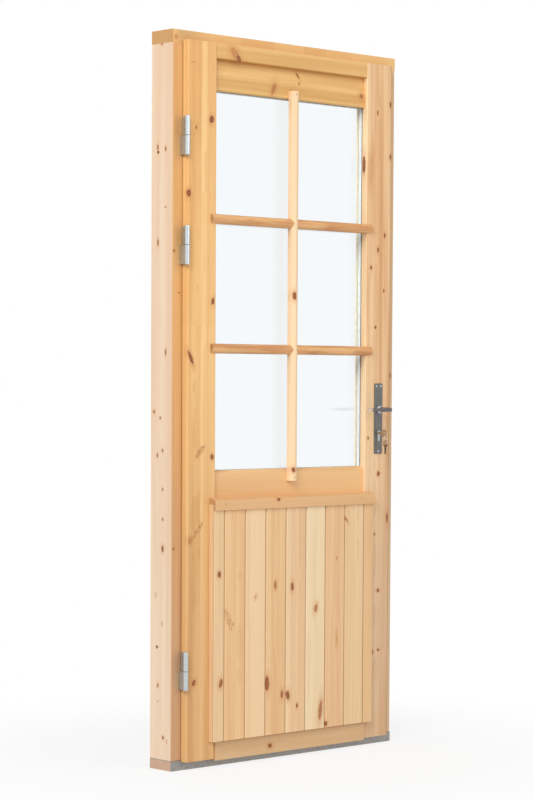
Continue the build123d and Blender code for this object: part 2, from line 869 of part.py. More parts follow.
def level_bar(height):
    """A level bar as a whole strip, notched where its ends lie on the stiles."""
    low = height - bar_radius
    high = height + bar_radius
    with BuildSketch(Plane.YZ.offset(-bar_x)) as section:
        with BuildLine():
            Polyline((rail_y - bar_base, low), (rail_y, low), (rail_y, high), (rail_y - bar_base, high))
            ThreePointArc((rail_y - bar_base, high), (bar_crest, height), (rail_y - bar_base, low))
        make_face()
    extrude(section.sketch, amount=2 * bar_x)
    for side in (-1, 1):
        block(
            side * (opening_x - bar_fit), side * (bar_x + overrun), face_y, rail_y + overrun,
            height - bar_radius - overrun, height + bar_radius + overrun, Mode.SUBTRACT,
        )


with BuildPart() as whole_upright:
    upright_bar()

# The front half of each crossing belongs to the upright bar, and the back half to the level bar
with BuildPart() as upright_front:
    add(whole_upright.part)
    block(
        -bar_width, bar_width, lap_y, rail_y + overrun,
        opening_bottom - upright_foot_lap - overrun, opening_top + upright_head_lap + overrun, Mode.SUBTRACT,
    )

level_bars = []
for height in bar_heights:
    with BuildPart() as bar:
        level_bar(height)
        add(upright_front.part, mode=Mode.SUBTRACT)
    level_bars.append(bar)

with BuildPart() as bar_vertical:
    add(whole_upright.part)
    for bar in level_bars:
        add(bar.part, mode=Mode.SUBTRACT)
keep(bar_vertical, "bar_vertical")
for bar, name in zip(level_bars, ("bar_lower", "bar_upper")):
    keep(bar, name)

# Tongue-and-groove boards, from left to right, with an open V between neighbours
tongue_y0 = (face_y + boards_y - tongue_thickness) / 2
tongue_y1 = tongue_y0 + tongue_thickness
board_widths = [edge_board_width] + [board_width] * full_boards + [edge_board_width]
board_left = -boards_x
for number, width in enumerate(board_widths, start=1):
    board_right = board_left + width
    first = number == 1
    last = number == len(board_widths)
    with BuildPart() as board:
        plan = outline(
            Plane.XY.offset(boards_foot),
            (
                (board_left, face_y),
                (board_left, boards_y + board_groove),
                (board_left + board_groove, boards_y),
                (board_right - board_groove, boards_y),
                (board_right, boards_y + board_groove),
                (board_right, face_y),
            ),
        )
        extrude(plan, amount=boards_top - boards_foot)
        if not last:
            block(board_right, board_right + tongue_length, tongue_y0, tongue_y1, boards_foot, boards_top)
        if not first:
            block(
                board_left - overrun, board_left + tongue_length + tongue_fit,
                tongue_y0 - tongue_fit, tongue_y1 + tongue_fit,
                boards_foot - overrun, boards_top + overrun, Mode.SUBTRACT,
            )
    keep(board, f"panel_board_{number}")
    board_left = board_right

# Drip cap over the boards, with a lip that hangs in front of them
cap_y = boards_y - cap_lip_depth
cap_lip_y = boards_y - cap_lip_fit
with BuildPart() as drip_cap:
    with BuildSketch(Plane.YZ.offset(-boards_x)) as cap_section:
        with BuildLine():
            Polyline(
                (face_y, boards_top),
                (face_y, cap_top),
                (cap_y, cap_top - cap_fall),
                (cap_y, boards_top - cap_lip_height),
                (cap_lip_y, boards_top - cap_lip_height),
                (cap_lip_y, boards_top),
                close=True,
            )
        make_face()
        fillet(cap_section.vertices().group_by(Axis.Y)[0].sort_by(Axis.Z)[-1], cap_round)
    extrude(amount=2 * boards_x)
keep(drip_cap, "drip_cap")

# Lock case with its forend, and the two bolts that slide in it
with BuildPart() as lock_case:
    block(
        case_back, forend_x, core_y - case_thickness / 2, core_y + case_thickness / 2, case_foot, case_top,
    )
    block(
        case_back + case_wall, forend_x, core_y - case_thickness / 2 + case_wall,
        core_y + case_thickness / 2 - case_wall, case_foot + case_wall, case_top - case_wall, Mode.SUBTRACT,
    )
    block(
        forend_x, leaf_x, core_y - forend_width / 2, core_y + forend_width / 2,
        forend_foot, forend_foot + forend_height,
    )
    latch_size = (latch_height_z, latch_width, latch_height)
    bolt_size = (bolt_height_z, bolt_width, bolt_height)
    for z, width, height in (latch_size, bolt_size):
        block(
            forend_x - overrun, leaf_x + overrun,
            core_y - width / 2 - bolt_fit, core_y + width / 2 + bolt_fit,
            z - height / 2 - bolt_fit, z + height / 2 + bolt_fit, Mode.SUBTRACT,
        )
    spindle_bore = disc(lock_plane(inner_y, lever_height), spindle_room)
    extrude(spindle_bore, amount=leaf_thickness, mode=Mode.SUBTRACT)
    cylinder_bore = cylinder_outline(lock_plane(inner_y, cylinder_height), cylinder_fit)
    extrude(cylinder_bore, amount=leaf_thickness, mode=Mode.SUBTRACT)
    for place in forend_screws_at:
        screw(place, screw_length, screw_fit, Mode.SUBTRACT)
keep(lock_case, "lock_case")

with BuildPart() as forend_screws:
    for place in forend_screws_at:
        screw(place)
keep(forend_screws, "forend_screws")

with BuildPart() as latch_bolt:
    plan = outline(
        Plane.XY.offset(latch_height_z - latch_height / 2),
        (
            (leaf_x - latch_tail, core_y - latch_width / 2),
            (leaf_x + latch_throw, core_y - latch_width / 2),
            (leaf_x + latch_throw, core_y - latch_width / 2 + latch_nose),
            (leaf_x + latch_nose, core_y + latch_width / 2),
            (leaf_x - latch_tail, core_y + latch_width / 2),
        ),
    )
    extrude(plan, amount=latch_height)
keep(latch_bolt, "latch_bolt")

with BuildPart() as deadbolt:
    block(
        leaf_x - bolt_tail, leaf_x - bolt_set_in, core_y - bolt_width / 2, core_y + bolt_width / 2,
        bolt_height_z - bolt_height / 2, bolt_height_z + bolt_height / 2,
    )
keep(deadbolt, "deadbolt")

# Long plates on both faces of the lock stile
plate_z = (plate_top + plate_foot) / 2
for face, direction, screws_at, name in (
    (face_y, -1, outside_screws_at, "outside_plate"),
    (inner_y, 1, inside_screws_at, "inside_plate"),
):
    front = face + direction * plate_thickness
    with BuildPart() as plate:
        with BuildSketch(through(lock_x, face, plate_z, direction)):
            RectangleRounded(plate_width, plate_height, plate_corner)
        extrude(amount=plate_thickness)
        front_edges = plate.faces().sort_by(Axis.Y)[0 if direction < 0 else -1].edges()
        chamfer(front_edges, length=plate_edge)
        with BuildSketch(through(lock_x, face - direction * overrun, lever_height, direction)):
            Circle(spigot_radius + spigot_fit)
        extrude(amount=plate_thickness + 2 * overrun, mode=Mode.SUBTRACT)
        behind_plate = lock_plane((face + front) / 2 + plate_thickness, cylinder_height)
        cylinder_hole = cylinder_outline(behind_plate, cylinder_fit)
        extrude(cylinder_hole, amount=2 * plate_thickness, mode=Mode.SUBTRACT)
        for place in screws_at:
            screw(place, plate_screw_length, screw_fit, Mode.SUBTRACT)
    keep(plate, name)

with BuildPart() as plate_screws:
    for place in outside_screws_at + inside_screws_at:
        screw(place, plate_screw_length)
keep(plate_screws, "plate_screws")

# Lock cylinder with its turning plug
with BuildPart() as cylinder_body:
    extrude(cylinder_outline(lock_plane(plug_back, cylinder_height), 0), amount=plug_back - plug_front)
    plug_bore = disc(lock_plane(plug_back + overrun, cylinder_height), plug_radius + plug_fit)
    extrude(plug_bore, amount=plug_back - plug_front + 2 * overrun, mode=Mode.SUBTRACT)
keep(cylinder_body, "cylinder_body")

with BuildPart() as cylinder_plug:
    with BuildSketch(lock_plane(plug_back, cylinder_height)):
        Circle(plug_radius)
        Rectangle(keyway_width, keyway_height, mode=Mode.SUBTRACT)
    extrude(amount=plug_back - plug_front)
keep(cylinder_plug, "cylinder_plug")

# Lever outside and turn-knob inside: each has a turned neck that bears in its plate

def turned_neck(face, direction, end):
    """Half the section of a neck, from the spigot in the plate to its end in the grip."""
    spigot_start = face - direction * spigot_length
    collar = face + direction * lever_gap
    shoulder = collar + direction * neck_base_height
    waist_y = shoulder + direction * (neck_base_radius - neck_radius)
    with BuildSketch(Plane(origin=(lock_x, 0, lever_height), x_dir=(1, 0, 0), z_dir=(0, 0, 1))) as half:
        with BuildLine():
            Polyline(
                (0, end),
                (0, spigot_start),
                (spigot_radius, spigot_start),
                (spigot_radius, collar),
                (neck_base_radius, collar),
                (neck_base_radius, shoulder),
            )
            ThreePointArc(
                (neck_base_radius, shoulder),
                ((neck_base_radius + 2 * neck_radius) / 3, (shoulder + waist_y) / 2),
                (neck_radius, waist_y),
            )
            Polyline((neck_radius, waist_y), (neck_radius, end), (0, end))
        make_face()
    return half.sketch


def spindle_socket(face, direction, bite):
    """The square socket for the spindle's end."""
    half_width = spindle_width / 2 + spindle_fit
    block(
        lock_x - half_width, lock_x + half_width,
        face - direction * (spigot_length + overrun), face + direction * bite,
        lever_height - half_width, lever_height + half_width, Mode.SUBTRACT,
    )


spindle_axis = Axis((lock_x, 0, lever_height), (0, 1, 0))
grip_y = outside_y - lever_reach + grip_heel_depth / 2
tip_y = outside_y - lever_reach + grip_tip_depth / 2
with BuildPart() as outside_lever:
    revolve(turned_neck(outside_y, -1, grip_y), axis=spindle_axis)
    with BuildSketch(across(lock_x + grip_heel, grip_y, lever_height, -1)):
        RectangleRounded(grip_heel_depth, grip_heel_height, grip_round)
    with BuildSketch(across(lock_x - lever_length, tip_y, lever_height, -1)):
        RectangleRounded(grip_tip_depth, grip_tip_height, grip_round)
    loft()
    spindle_socket(outside_y, -1, lever_bite)
keep(outside_lever, "outside_lever")

knob_y = inside_y + knob_reach - knob_thickness
with BuildPart() as inside_knob:
    with BuildSketch(through(lock_x, knob_y, lever_height, 1)):
        Ellipse(knob_half_width, knob_half_height)
    extrude(amount=knob_thickness)
    fillet(inside_knob.edges(), knob_round)
    revolve(turned_neck(inside_y, 1, knob_y + knob_thickness / 2), axis=spindle_axis)
    spindle_socket(inside_y, 1, knob_bite)
keep(inside_knob, "inside_knob")

with BuildPart() as spindle:
    block(
        lock_x - spindle_width / 2, lock_x + spindle_width / 2,
        outside_y - lever_bite + lever_gap, inside_y + knob_bite - lever_gap,
        lever_height - spindle_width / 2, lever_height + spindle_width / 2,
    )
keep(spindle, "spindle")


def key_plane(y, z):
    """The middle plane of a hanging key, upright and square to the door, with its x axis outwards."""
    return Plane(origin=(lock_x, y, z), x_dir=(0, -1, 0), z_dir=(-1, 0, 0))


# Key in the cylinder, the ring through its bow, and a spare key on the ring
with BuildPart() as key:
    with BuildSketch(key_plane(key_bow_y, cylinder_height)):
        Circle(key_bow_radius)
        blade_reach = key_bow_radius + key_neck + key_blade_length
        with Locations((-blade_reach / 2, 0)):
            Rectangle(blade_reach, key_blade_height)
        with Locations((key_hole_out, -key_hole_drop)):
            Circle(key_hole_radius, mode=Mode.SUBTRACT)
    extrude(amount=key_thickness / 2, both=True)
keep(key, "key")

with BuildPart() as key_ring:
    with Locations((lock_x, ring_y, ring_z - ring_radius)):
        Torus(ring_radius, ring_wire, rotation=(90, 0, 0))
keep(key_ring, "key_ring")

spare_tip = spare_bow_z - spare_bow_radius - spare_blade_length
bit_shares = (0.25, 0.5, 0.75)
with BuildPart() as spare_key:
    with BuildSketch(key_plane(ring_y, spare_bow_z)):
        Circle(spare_bow_radius)
        with Locations((0, (spare_tip - spare_bow_z) / 2)):
            Rectangle(spare_blade_width, spare_bow_z - spare_tip)
        for share in bit_shares:
            bit_z = -spare_bow_radius - spare_blade_length * share
            with BuildLine():
                Polyline(
                    (spare_blade_width / 2, bit_z + spare_bit_depth),
                    (spare_blade_width / 2 - spare_bit_depth, bit_z),
                    (spare_blade_width / 2, bit_z - spare_bit_depth),
                    close=True,
                )
            make_face(mode=Mode.SUBTRACT)
        with Locations((0, spare_hole_up)):
            Circle(key_hole_radius, mode=Mode.SUBTRACT)
    extrude(amount=key_thickness / 2, both=True)
keep(spare_key, "spare_key")
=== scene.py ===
"""Dresses the glazed pine door, hung in its frame, for a studio view from the hinge side."""

import math
from functools import partial

import bmesh
import bpy
from mathutils import Euler, Matrix, Vector


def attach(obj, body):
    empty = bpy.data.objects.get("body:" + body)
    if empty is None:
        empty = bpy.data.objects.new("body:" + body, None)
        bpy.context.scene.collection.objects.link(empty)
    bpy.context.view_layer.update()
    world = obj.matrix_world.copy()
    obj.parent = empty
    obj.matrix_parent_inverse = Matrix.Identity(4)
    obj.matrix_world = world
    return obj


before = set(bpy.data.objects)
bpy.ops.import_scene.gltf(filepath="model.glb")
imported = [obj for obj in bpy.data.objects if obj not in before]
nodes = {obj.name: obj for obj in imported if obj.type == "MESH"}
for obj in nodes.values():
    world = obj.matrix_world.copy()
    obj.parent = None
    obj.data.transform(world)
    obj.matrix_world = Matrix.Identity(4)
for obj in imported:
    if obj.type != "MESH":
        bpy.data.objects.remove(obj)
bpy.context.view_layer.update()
MM = 0.001
WHITE = (1.0, 1.0, 1.0, 1.0)


class Sock:
    """One output in a material's nodes. Sums on it add Math nodes, and make() adds any other node."""

    def __init__(self, tree, output=None):
        self.tree = tree
        self.output = output

    def make(self, kind, settings=None, sockets=None, out=0):
        """A node of any kind: its settings first, then the values or links of its sockets."""
        node = self.tree.nodes.new("ShaderNode" + kind)
        for name, value in (settings or {}).items():
            if name == "stops":
                ramp = node.color_ramp.elements
                while len(ramp) < len(value):
                    ramp.new(1.0)
                for element, (place, colour) in zip(ramp, value):
                    element.position = place
                    element.color = (*colour[:3], 1.0)
            elif name == "blend":
                node.color_ramp.interpolation = value
            else:
                setattr(node, name, value)
        for name, value in (sockets or {}).items():
            if isinstance(value, Sock):
                self.tree.links.new(node.inputs[name], value.output)
            else:
                node.inputs[name].default_value = value
        return Sock(self.tree, node.outputs[out])

    def sum(self, operation, *values):
        return self.make("Math", {"operation": operation}, dict(enumerate(values)))

    def __add__(self, other):
        return self.sum("ADD", self, other)

    def __sub__(self, other):
        return self.sum("SUBTRACT", self, other)

    def __mul__(self, other):
        return self.sum("MULTIPLY", self, other)

    def __truediv__(self, other):
        return self.sum("DIVIDE", self, other)

    def __rtruediv__(self, other):
        return self.sum("DIVIDE", other, self)

    __radd__ = __add__


def shade(code):
    """A colour written as it looks, as the light values that Blender takes."""
    parts = [int(code[i:i + 2], 16) / 255 for i in (0, 2, 4)]
    return (*(p / 12.92 if p < 0.04045 else ((p + 0.055) / 1.055) ** 2.4 for p in parts), 1.0)


def ease(value, low, high, start=0.0, end=1.0):
    """A smooth step of a value between two levels."""
    return value.make(
        "MapRange", {"interpolation_type": "SMOOTHSTEP"},
        {"Value": value, "From Min": low, "From Max": high, "To Min": start, "To Max": end},
    )


def mix(share, first, second):
    """Two colours mixed by a share."""
    return share.make("Mix", {"data_type": "RGBA"}, {0: share, 6: first, 7: second}, out=2)


def noise(place, detail=2.0, rough=0.5):
    """Soft noise between 0 and 1 over a place."""
    return place.make(
        "TexNoise", {"noise_dimensions": "3D"},
        {"Vector": place, "Scale": 1.0, "Detail": detail, "Roughness": rough},
    )


def stretch(place, by, shift=(0.0, 0.0, 0.0)):
    """A place scaled along each axis, then shifted."""
    return place.make("VectorMath", {"operation": "MULTIPLY_ADD"}, {0: place, 1: by, 2: shift})


def split(vector):
    """The three parts of a place or a direction."""
    node = vector.make("SeparateXYZ", None, {0: vector}).output.node
    return [Sock(vector.tree, output) for output in node.outputs]


def length(vector):
    """How long a vector is."""
    return vector.make("VectorMath", {"operation": "LENGTH"}, {0: vector}, out=1)


def at_most_one(value):
    """A value that stops at 1."""
    return value.sum("MINIMUM", value, 1.0)


def seen_rays(start):
    """1 for rays that look at a surface, straight, in a mirror or through glass, and 0 for its light."""
    rays = ("Is Camera Ray", "Is Glossy Ray", "Is Transmission Ray")
    straight, mirrored, through = (start.make("LightPath", out=name) for name in rays)
    return at_most_one(straight + mirrored + through)


def finish(name, **fixed):
    """A new material, the place on the piece at rest, and its shader with these fixed values."""
    material = bpy.data.materials.new(name)
    material.use_nodes = True
    tree = material.node_tree
    shader = tree.nodes["Principled BSDF"]
    for socket, value in fixed.items():
        shader.inputs[socket.replace("_", " ")].default_value = value
    place = Sock(tree).make("TexCoord", out="Object")
    return material, place, shader


def feed(shader, **values):
    """Link what varies over a surface to the shader's sockets."""
    for socket, value in values.items():
        value.tree.links.new(shader.inputs[socket.replace("_", " ")], value.output)


def blend_shaders(material, share, shader, other):
    """Show a mix of the material's own shader and another one."""
    own = Sock(share.tree, shader.outputs[0])
    both = share.make("MixShader", None, {0: share, 1: own, 2: other})
    share.tree.links.new(material.node_tree.nodes["Material Output"].inputs["Surface"], both.output)


def bumped(height, strength, depth):
    """A normal from a height."""
    return height.make(
        "Bump", None, {"Strength": strength, "Distance": depth, "Height": height},
    )


def dress(names, material):
    """Give CAD nodes a material."""
    for name in names:
        mesh = nodes[name].data
        mesh.materials.clear()
        mesh.materials.append(material)


# Pine

# Colour of the painted shade in gaps, joints and grooves
GAP_SHADE = "6f4d2a"
KNOT_HALO = "c9854a"
KNOT_HEART = "b26530"
KNOT_RING = "7c3c16"
KNOT_RIM = "6f3411"
KNOT_LIGHT = "bf7d43"
FEATHER = "dda063"
FEATHER_SPECK = "85522a"

# Noise in the wood: changes per metre across the grain and along it, and how far a seed moves it
WANDER = (5.0, 5.0, 1.7)
SWAY = (7.0, 0.16, 2.3)
FINE = (150.0, 2.6, 1.1)
FIBRE = (900.0, 9.0, 0.4)
BROAD_SHIFT = 0.6
SEED_DEPTH = 0.7
SEED_HEIGHT = 1.3
WOOD_NOISE_ROUGH = 0.55
KNOT_NOISE = (150.0, 150.0, 90.0)
SPECK_NOISE = (260.0, 260.0, 150.0)
RICH_DETAIL = 3.0
RICH_ROUGH = 0.6
KNOT_RAGGED = 0.75

# Growth rings: how many of them the noise moves, and metres that the pith moves between lamellas
SWAY_RINGS = 9.0
WANDER_RINGS = 1.6
STRIP_SHIFT = 0.07
LENGTH_SHIFT = 0.05
KNOT_BEND = 1.9
KNOT_BEND_FALL = 0.8
LATE_START = 0.3
LATE_END = 0.97

# How much of each colour shows
LATE_SHARE = 0.10
LATE_FINE_SHARE = 0.13
FIBRE_SHARE = 0.10
LAMELLA_STREAK = 0.6
LAMELLA_BASE = 0.25
HALO_SHARE = 0.34
END_SHARE = 0.55
FEATHER_SHARE = 0.7
KNOT_RINGS = 17.0
KNOT_RING_SHARE = 0.55
KNOT_FINE_SHARE = 0.4
KNOT_FILL = 1.5

# Levels between which each of them comes up
KNOT_EDGE = (0.7, 1.2)
OUTWARD_STEP = (-0.35, -0.65)
FRONT_HEIGHTS = (0.1, 1.3)
STREAK_STEP = (0.34, 0.66)
LATE_FINE_STEP = (0.35, 0.7)
FIBRE_STEP = (0.55, 0.8)
HALO_STEP = (0.9, 2.8)
KNOT_FINE_STEP = (0.3, 0.7)
KNOT_RIM_STEP = (0.3, 0.95)
KNOT_HEART_STEP = (0.4, 0.88)
SPECK_STEP = (0.44, 0.7)
END_STEP = (0.75, 0.95)
GLOSS_STEP = (0.3, 0.7)

# Sheen and relief
WOOD_ROUGH = 0.48
LATE_ROUGH = 0.06
END_ROUGH = 0.2
STREAK_GLOSS = 0.06
WOOD_RELIEF = 0.4
KNOT_RELIEF = 0.8
WOOD_BUMP = (0.12, 0.0006)

# Faces that knots lie on, in mm, and how deep a knot goes
LEAF_FACE = -71.0
FRAME_FACE = -46.0
RAIL_FOOT_FACE = -75.0
BAR_FACE = -82.0
BOARD_FACE = -90.0
CAP_FACE = -96.0
JAMB_SIDE = -445.0
JAMB_SIDE_DEPTH = 14.0


def front(x, z, wide, tall, tilt=0.0, dark=0.85, face=LEAF_FACE, deep=30.0):
    """A knot on a face that looks outwards: its middle, half width, half height, lean and darkness."""
    return (x, face, z), (wide, deep, tall), (0.0, tilt, 0.0), dark


def side(y, z, wide, tall, dark=0.75):
    """A knot on the left jamb's outer side."""
    return (JAMB_SIDE, y, z), (JAMB_SIDE_DEPTH, wide, tall), (0.0, 0.0, 0.0), dark


on_frame = partial(front, face=FRAME_FACE)
on_bar = partial(front, face=BAR_FACE)
on_board = partial(front, face=BOARD_FACE)


def knot_fields(place, knots):
    """How far a place is from the nearest knot, in that knot's own radii, and how dark it is there."""
    ragged = (noise(stretch(place, KNOT_NOISE), RICH_DETAIL) - 0.5) * KNOT_RAGGED
    nearest = None
    darkest = None
    for centre, radii, turn, dark in knots:
        local = place.make(
            "Mapping", {"vector_type": "TEXTURE"},
            {"Vector": place, "Location": [c * MM for c in centre],
             "Rotation": [math.radians(t) for t in turn], "Scale": [r * MM for r in radii]},
        )
        far = length(local) + ragged
        shadow = ease(far, *KNOT_EDGE, dark, 0.0)
        nearest = far if nearest is None else far.sum("MINIMUM", nearest, far)
        darkest = shadow if darkest is None else shadow.sum("MAXIMUM", darkest, shadow)
    return nearest, darkest


def steps(value, stops, soft=False):
    """A level that changes along a value, in steps or softly: each stop is a place and the level there."""
    start, end = stops[0][0] * MM, stops[-1][0] * MM
    share = value.make("MapRange", None, {"Value": value, "From Min": start, "From Max": end})
    used = stops if soft else stops[:-1]
    levels = [((p * MM - start) / (end - start), (level, level, level)) for p, level in used]
    blend = "EASE" if soft else "CONSTANT"
    return share.make("ValToRGB", {"stops": levels, "blend": blend}, {0: share})


def pine(name, grain, tones, seed, knots=(), feathers=(), strips=None, lengths=None, front_shade_tones=None,
         pith=(0.0, 60.0), ring=3.4, streak=0.5, lines=1.0, fade=None, shade_lines=(), soft=False,
         end_tones=("c9935f", "925f36"), weave=(24.0, 0.9)):
    """Clear-finished pine: growth rings about a pith, fibres, lamellas, knots and darker end grain.

    grain is the axis that the fibres follow, and tones are the pale, mid and dark wood. strips are the
    lamellas across the face and lengths the pieces joined along it, as (place, level); soft lets the
    strips run into each other. front_shade_tones colour the outward face, pale and mid at its head and
    then at its foot: painted shade, darker and more orange than the pale side faces. fade gives pale and
    mid tones lower down and the heights between which they change.
    feathers are speckled knots cut lengthwise. pith is its place across and in depth, ring the width of
    a year, streak and lines the strength of the streaks and the rings, and weave how often the streaks
    change across and along. Each of shade_lines is a band of painted shade along an axis, where a gap,
    joint or groove lies: (axis, unshaded place, darkest place, unshaded place again, share).
    """
    material, place, shader = finish(name, Coat_Weight=0.06, Coat_Roughness=0.35)
    parts = split(place)
    axis = {"X": 0, "Z": 2}[grain]
    across = parts[2 - axis]
    depth = parts[1]

    def drawn(wide, long, shift):
        """Noise that is drawn out along the grain."""
        scale = [wide, wide, wide]
        scale[axis] = long
        moved = stretch(place, scale, (seed * shift, seed * SEED_DEPTH, seed * SEED_HEIGHT))
        return noise(moved, rough=WOOD_NOISE_ROUGH)

    wander = drawn(*WANDER)
    sway = drawn(*SWAY) - 0.5
    broad = drawn(*weave, BROAD_SHIFT)
    fine = drawn(*FINE)
    fibre = drawn(*FIBRE)

    # Growth rings, which start again in each lamella and bend round knots
    off_a = across - pith[0] * MM
    off_b = depth - pith[1] * MM
    level = None
    if strips:
        level = steps(across, strips, soft)
        off_a = off_a if soft else off_a + (level - 0.5) * STRIP_SHIFT
    if lengths:
        piece = steps(parts[axis], lengths)
        level = piece if level is None else level + piece - 0.5
        off_b = off_b + (piece - 0.5) * LENGTH_SHIFT
    square = off_a * off_a + off_b * off_b
    phase = square.sum("SQRT", square) / (ring * MM) + sway * SWAY_RINGS + wander * WANDER_RINGS
    if knots:
        far, darkest = knot_fields(place, knots)
        phase = phase + KNOT_BEND / (far * far * KNOT_BEND_FALL + 1.0)
    year = phase.sum("FRACT", phase)
    late = ease(year, LATE_START, LATE_END) * ease(year, LATE_END, 1.0, 1.0, 0.0)

    # Pale, mid and dark wood
    pale, mid, dark = (shade(t) for t in tones)
    if fade:
        low_tones, low, high = fade
        height = ease(parts[2], low * MM, high * MM)
        pale = mix(height, shade(low_tones[0]), pale)
        mid = mix(height, shade(low_tones[1]), mid)
    looks = split(place.make("TexCoord", out="Normal"))
    # Painted shade: faces that look outwards take darker, more orange tones than the pale side faces, and
    # these change from head to foot
    if front_shade_tones:
        outward = ease(looks[1], *OUTWARD_STEP)
        height = ease(parts[2], *FRONT_HEIGHTS)
        head_pale, head_mid, foot_pale, foot_mid = (shade(t) for t in front_shade_tones)
        pale = mix(outward, pale, mix(height, foot_pale, head_pale))
        mid = mix(outward, mid, mix(height, foot_mid, head_mid))
    tone = ease(broad, *STREAK_STEP) * streak
    if level:
        tone = tone * LAMELLA_STREAK + level - LAMELLA_BASE
    tone = tone.sum("MAXIMUM", at_most_one(tone), 0.0)
    colour = mix(tone, pale, mid)
    late_share = LATE_SHARE + ease(fine, *LATE_FINE_STEP) * LATE_FINE_SHARE
    colour = mix(late * late_share * lines, colour, dark)
    colour = mix(ease(fibre, *FIBRE_STEP) * FIBRE_SHARE, colour, dark)
    bump = late * WOOD_RELIEF + fibre * WOOD_RELIEF

    # Knots, feathers, painted shade lines and end grain over it
    if knots:
        colour = mix(ease(far, *HALO_STEP, HALO_SHARE, 0.0), colour, shade(KNOT_HALO))
        turns = far * KNOT_RINGS
        rings = turns.sum("SINE", turns) * 0.5 + 0.5
        ringed = rings * KNOT_RING_SHARE + ease(fine, *KNOT_FINE_STEP) * KNOT_FINE_SHARE
        heart = mix(ringed, shade(KNOT_HEART), shade(KNOT_RING))
        heart = mix(ease(far, *KNOT_RIM_STEP), heart, shade(KNOT_RIM))
        knot_colour = mix(ease(darkest, *KNOT_HEART_STEP), shade(KNOT_LIGHT), heart)
        colour = mix(at_most_one(darkest * KNOT_FILL), colour, knot_colour)
        bump = bump + darkest * KNOT_RELIEF
    if feathers:
        spread = knot_fields(place, feathers)[1]
        speck = noise(stretch(place, SPECK_NOISE, (seed, 0.0, 0.0)), RICH_DETAIL, RICH_ROUGH)
        colour = mix(spread * FEATHER_SHARE, colour, shade(FEATHER))
        colour = mix(spread * ease(speck, *SPECK_STEP), colour, shade(FEATHER_SPECK))
    # Painted shade: darker bands in the gaps, joints and grooves where shade falls
    for along, unshaded, shadiest, past, share in shade_lines:
        rise = ease(parts[along], unshaded * MM, shadiest * MM)
        fall = ease(parts[along], past * MM, shadiest * MM)
        colour = mix(rise * fall * share, colour, shade(GAP_SHADE))
    end = ease(looks[axis].sum("ABSOLUTE", looks[axis]), *END_STEP)
    colour = mix(end * END_SHARE, colour, mix(late, shade(end_tones[0]), shade(end_tones[1])))
    rough = WOOD_ROUGH + late * LATE_ROUGH + end * END_ROUGH - ease(broad, *GLOSS_STEP) * STREAK_GLOSS
    feed(shader, Base_Color=colour, Roughness=rough, Normal=bumped(bump, *WOOD_BUMP))
    return material


hinge_fade = (("eabd82", "cb955a"), 350.0, 1350.0)
lock_fade = (("f0cfa8", "d2a87d"), 350.0, 1350.0)
# Share of the painted shade line along the gap at a leaf's edge
gap_shade_share = 0.42

jamb_knots = [
    side(2, 2052, 4, 4), side(19, 1764, 3, 8), side(-15, 1758, 3, 6), side(-15, 1595, 2, 3),
    side(17, 1497, 3, 10), side(-17, 1188, 3, 9), side(32, 1019, 4, 5), side(5, 1002, 3, 4),
    side(-5, 910, 3, 5), side(17, 896, 3, 6), side(-6, 800, 3, 4), side(-7, 715, 3, 4),
    side(-7, 631, 5, 9, 0.85), side(23, 498, 3, 5, 0.14), side(-6, 418, 3, 4, 0.18),
    side(12, 241, 3, 6), side(12, 195, 2, 2), side(-11, 93, 4, 5), side(-27, 83, 2, 5, 0.3),
    on_frame(-439, 1472, 3, 4, deep=6), on_frame(-438, 633, 3, 4, deep=6), on_frame(-421, 1355, 3, 2),
]
# The left jamb's front takes darker tones than its side: painted shade
dress(["frame_left_jamb"], pine(
    "jamb_pine_left", "Z", ("f7dcc0", "ecc9a6", "c79a6c"), 3.1, jamb_knots,
    front_shade_tones=("e7b476", "d59d5f", "d0a47c", "bd8f68"), pith=(-300.0, 140.0), streak=0.8,
    shade_lines=[(0, -412.5, -409, -405, gap_shade_share)],
))
dress(["frame_right_jamb"], pine(
    "jamb_pine_right", "Z", ("e6c294", "d6aa7a", "ac7a4a"), 7.4, [on_frame(434, 1126, 4, 6)],
    pith=(300.0, 120.0), fade=lock_fade, shade_lines=[(0, 414, 409, 404, gap_shade_share)],
))
# The head has a painted shade line at its foot, over the leaf's top, and a darker band towards its left end
dress(["frame_head"], pine(
    "head_pine", "X", ("f0c27f", "e2aa66", "b87a3c"), 5.2,
    [on_frame(-434, 2068, 5, 6, 20, 0.5), on_frame(178, 2060, 8, 3, 10)],
    lengths=[(-460, 0.38), (-190, 0.7), (-60, 0.3), (60, 0.74), (150, 0.48), (260, 0.22), (460, 0.5)],
    pith=(1960.0, 80.0), shade_lines=[(2, 2044, 2041, 2038, 0.5), (0, -445, -415, -300, 0.22)],
))
dress(["hinge_stile"], pine(
    "stile_pine_hinge", "Z", ("f9cc8b", "e7ae69", "b8742f"), 1.3,
    [front(-380, 1819, 3, 5), front(-322, 1845, 8, 11, 10, 0.95), front(-406, 1634, 7, 12, deep=8),
     front(-315, 1333, 6, 10, 12), front(-398, 1173, 6, 22, -24, deep=8), front(-316, 891, 6, 8),
     front(-398, 656, 7, 9, 0, 0.55, deep=10), front(-382, 250, 7, 9, 30),
     front(-392, 1999, 4, 2, 0, 0.4)],
    [front(-362, 906, 8, 30, 44, 0.9), front(-372, 680, 9, 34, 40, 0.9)],
    # The strip on the lip's side face is paler than the face beside it: partly its lamella's tone, partly a
    # painted highlight where it looks towards the light
    strips=[(-430, 0.26), (-407.5, 0.66), (-361, 0.12), (-339, 0.46), (-280, 0.5)],
    lengths=[(0, 0.44), (1260, 0.56), (1640, 0.46), (2100, 0.5)],
    pith=(-360.0, 40.0), fade=hinge_fade, streak=0.9, shade_lines=[(1, -51.5, -47, -44, gap_shade_share)],
))
reveal_mark = ((303, -58, 1758), (5, 6, 26), (0.0, 0.0, 0.0), 1.0)
